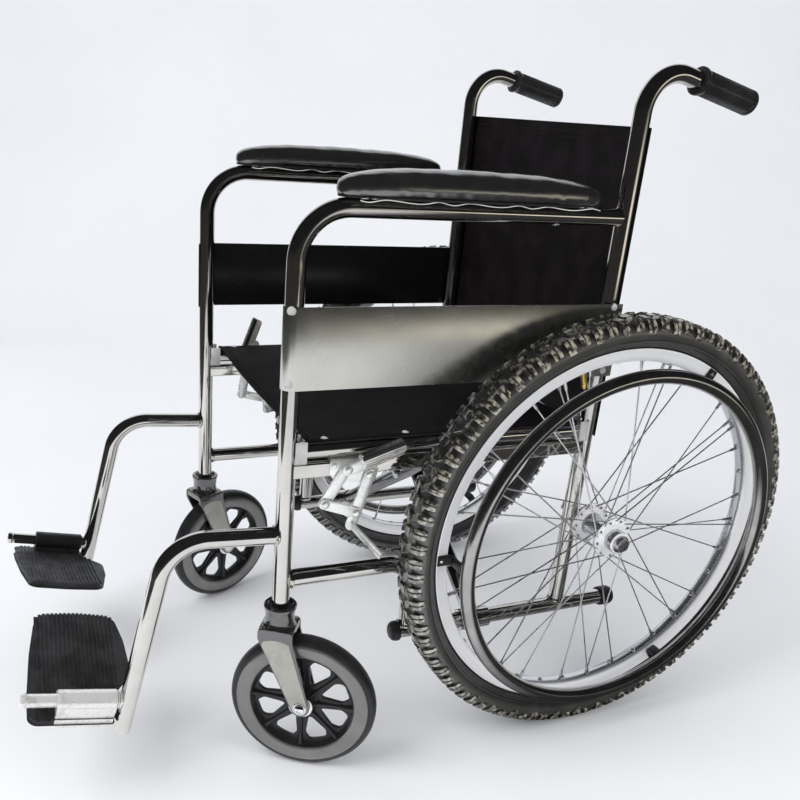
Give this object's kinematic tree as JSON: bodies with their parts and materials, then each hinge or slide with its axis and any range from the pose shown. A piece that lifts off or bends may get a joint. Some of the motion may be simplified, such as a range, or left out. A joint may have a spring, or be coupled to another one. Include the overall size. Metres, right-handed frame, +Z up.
{
  "type": "bariatric wheelchair",
  "caption": "Self-propelled folding steel wheelchair with sling seat, padded arms, wire-spoked rear wheels on knobby tyres, push rims, swivel casters, flip-up footplates and rim brakes.",
  "frame": {"origin": "on the floor, under the middle of the chair's bounding box", "axes": "+X to the sitter's left, -Y forward, +Z up"},
  "size_m": [0.6378, 1.0554, 0.8912],
  "materials": {
    "frame_paint": "glossy black enamel on steel tube",
    "guard_sheet": "glossy black sheet",
    "white_nylon": "white nylon",
    "black_rubber": "satin black rubber",
    "pad_vinyl": "soft gloss black vinyl",
    "zinc": "bright zinc",
    "black_plastic": "satin black plastic",
    "tyre_rubber": "matte knobby tread",
    "rim_chrome": "chromed steel",
    "handrim_plastic": "glossy dark coated tube",
    "caster_rubber": "dark grey solid tyre on black plastic",
    "footplate_plastic": "ribbed charcoal plastic",
    "grip_plastic": "black plastic grip",
    "sling_fabric": "matte black nylon cloth"
  },
  "bodies": {
    "left_frame": {"front_tube_left": "frame_paint", "rear_post_left": "frame_paint", "lower_rail_left": "frame_paint", "bottom_rail_left": "frame_paint", "footrest_hanger_left": "frame_paint", "side_bar_left": "frame_paint", "skirt_guard_left": "guard_sheet", "rear_cap_left": "black_rubber", "front_saddle_left": "white_nylon", "rear_saddle_left": "white_nylon", "push_grip_left": "black_rubber", "armrest_pad_left": "pad_vinyl", "wheel_axle_left": "zinc", "caster_bearing_left": "black_plastic", "brake_plate_left": "zinc", "back_upholstery": "sling_fabric"},
    "brace_a": {"brace_arm_a": "frame_paint"},
    "brace_b": {"brace_arm_b": "frame_paint", "brace_bolt": "zinc", "seat_sling": "sling_fabric"},
    "right_frame": {"front_tube_right": "frame_paint", "rear_post_right": "frame_paint", "lower_rail_right": "frame_paint", "bottom_rail_right": "frame_paint", "footrest_hanger_right": "frame_paint", "side_bar_right": "frame_paint", "skirt_guard_right": "guard_sheet", "rear_cap_right": "black_rubber", "front_saddle_right": "white_nylon", "rear_saddle_right": "white_nylon", "push_grip_right": "black_rubber", "armrest_pad_right": "pad_vinyl", "wheel_axle_right": "zinc", "caster_bearing_right": "black_plastic", "brake_plate_right": "zinc"},
    "wheel_left": {"tyre_left": "tyre_rubber", "wheel_rim_left": "rim_chrome", "spoked_hub_left": "rim_chrome", "handrim_left": "handrim_plastic"},
    "caster_yoke_left": {"caster_fork_left": "black_plastic", "caster_axle_left": "zinc"},
    "caster_roller_left": {"caster_wheel_left": "caster_rubber"},
    "foot_left": {"footplate_left": "footplate_plastic"},
    "brake_lever_left": {"brake_handle_left": "grip_plastic"},
    "brake_crank_left": {"brake_front_arm_left": "zinc"},
    "brake_shoe_left": {"brake_shoe_arm_left": "zinc"},
    "brake_tie_left": {"brake_link_left": "zinc"},
    "wheel_right": {"tyre_right": "tyre_rubber", "wheel_rim_right": "rim_chrome", "spoked_hub_right": "rim_chrome", "handrim_right": "handrim_plastic"},
    "caster_yoke_right": {"caster_fork_right": "black_plastic", "caster_axle_right": "zinc"},
    "caster_roller_right": {"caster_wheel_right": "caster_rubber"},
    "foot_right": {"footplate_right": "footplate_plastic"},
    "brake_lever_right": {"brake_handle_right": "grip_plastic"},
    "brake_crank_right": {"brake_front_arm_right": "zinc"},
    "brake_shoe_right": {"brake_shoe_arm_right": "zinc"},
    "brake_tie_right": {"brake_link_right": "zinc"}
  },
  "joints": [
    {"name": "fold", "type": "hinge", "parent": "left_frame", "child": "brace_a", "pos_m": [0.21, 0.0565, 0.15952], "axis": [0, 0.9998, -0.0209], "range_deg": [0, 40.5], "deforming": ["seat_sling", "back_upholstery"]},
    {"name": "brace_scissor", "type": "hinge", "parent": "brace_a", "child": "brace_b", "pos_m": [0, 0.0594, 0.29774], "axis": [0, 0.9998, -0.0209], "range_deg": [-81, 0]},
    {"name": "right_rail", "type": "hinge", "parent": "brace_b", "child": "right_frame", "pos_m": [-0.21, 0.0565, 0.15952], "axis": [0, 0.9998, -0.0209], "range_deg": [0, 40.5]},
    {"name": "wheel_roll_left", "type": "hinge", "parent": "left_frame", "child": "wheel_left", "pos_m": [0.261, 0.2262, 0.301], "axis": [1, 0, 0], "continuous": true},
    {"name": "caster_swivel_left", "type": "hinge", "parent": "left_frame", "child": "caster_yoke_left", "pos_m": [0.21, -0.21591, 0.21424], "axis": [0, 0.0209, 0.9998], "continuous": true},
    {"name": "caster_roll_left", "type": "hinge", "parent": "caster_yoke_left", "child": "caster_roller_left", "pos_m": [0.22999, -0.18758, 0.097], "axis": [0.8387, -0.5445, 0.0114], "continuous": true},
    {"name": "footplate_flip_left", "type": "hinge", "parent": "left_frame", "child": "foot_left", "pos_m": [0.21, -0.40647, 0.13571], "axis": [0, 0.9744, -0.225], "range_deg": [0, 78]},
    {"name": "brake_lever_left", "type": "hinge", "parent": "left_frame", "child": "brake_lever_left", "pos_m": [0.2335, -0.14061, 0.41871], "axis": [1, 0, 0], "range_deg": [0, 52]},
    {"name": "brake_crank_left", "type": "hinge", "parent": "left_frame", "child": "brake_crank_left", "pos_m": [0.2265, -0.14061, 0.41871], "axis": [1, 0, 0], "range_deg": [0, 22]},
    {"name": "brake_shoe_left", "type": "hinge", "parent": "left_frame", "child": "brake_shoe_left", "pos_m": [0.2265, -0.10985, 0.40706], "axis": [1, 0, 0], "range_deg": [0, 22]},
    {"name": "brake_tie_left", "type": "hinge", "parent": "brake_crank_left", "child": "brake_tie_left", "pos_m": [0.229, -0.16775, 0.37494], "axis": [1, 0, 0], "range_deg": [-16.08, 0]},
    {"name": "wheel_roll_right", "type": "hinge", "parent": "right_frame", "child": "wheel_right", "pos_m": [-0.261, 0.2262, 0.301], "axis": [1, 0, 0], "continuous": true},
    {"name": "caster_swivel_right", "type": "hinge", "parent": "right_frame", "child": "caster_yoke_right", "pos_m": [-0.21, -0.21591, 0.21424], "axis": [0, 0.0209, 0.9998], "continuous": true},
    {"name": "caster_roll_right", "type": "hinge", "parent": "caster_yoke_right", "child": "caster_roller_right", "pos_m": [-0.22339, -0.18419, 0.097], "axis": [0.9311, 0.3648, -0.0076], "continuous": true},
    {"name": "footplate_flip_right", "type": "hinge", "parent": "right_frame", "child": "foot_right", "pos_m": [-0.21, -0.40647, 0.13571], "axis": [0, 0.9744, -0.225], "range_deg": [-78, 0]},
    {"name": "brake_lever_right", "type": "hinge", "parent": "right_frame", "child": "brake_lever_right", "pos_m": [-0.2335, -0.14061, 0.41871], "axis": [1, 0, 0], "range_deg": [-52, 0]},
    {"name": "brake_crank_right", "type": "hinge", "parent": "right_frame", "child": "brake_crank_right", "pos_m": [-0.2265, -0.14061, 0.41871], "axis": [1, 0, 0], "range_deg": [-22, 0]},
    {"name": "brake_shoe_right", "type": "hinge", "parent": "right_frame", "child": "brake_shoe_right", "pos_m": [-0.2265, -0.10985, 0.40706], "axis": [1, 0, 0], "range_deg": [-22, 0]},
    {"name": "brake_tie_right", "type": "hinge", "parent": "brake_crank_right", "child": "brake_tie_right", "pos_m": [-0.229, -0.14938, 0.36796], "axis": [1, 0, 0], "range_deg": [0, 16.08]}
  ],
  "couplings": [
    {"joint": "brace_scissor", "follows": "fold", "ratio": -2},
    {"joint": "right_rail", "follows": "fold", "ratio": 1},
    {"joint": "footplate_flip_left", "follows": "fold", "ratio": 1.92},
    {"joint": "brake_crank_left", "follows": "brake_lever_left", "ratio": 0.42308},
    {"joint": "brake_shoe_left", "follows": "brake_lever_left", "ratio": 0.42308},
    {"joint": "brake_tie_left", "follows": "brake_lever_left", "ratio": -0.30923},
    {"joint": "footplate_flip_right", "follows": "fold", "ratio": -1.92},
    {"joint": "brake_crank_right", "follows": "brake_lever_right", "ratio": 0.42308},
    {"joint": "brake_shoe_right", "follows": "brake_lever_right", "ratio": 0.42308},
    {"joint": "brake_tie_right", "follows": "brake_lever_right", "ratio": -0.30923}
  ]
}
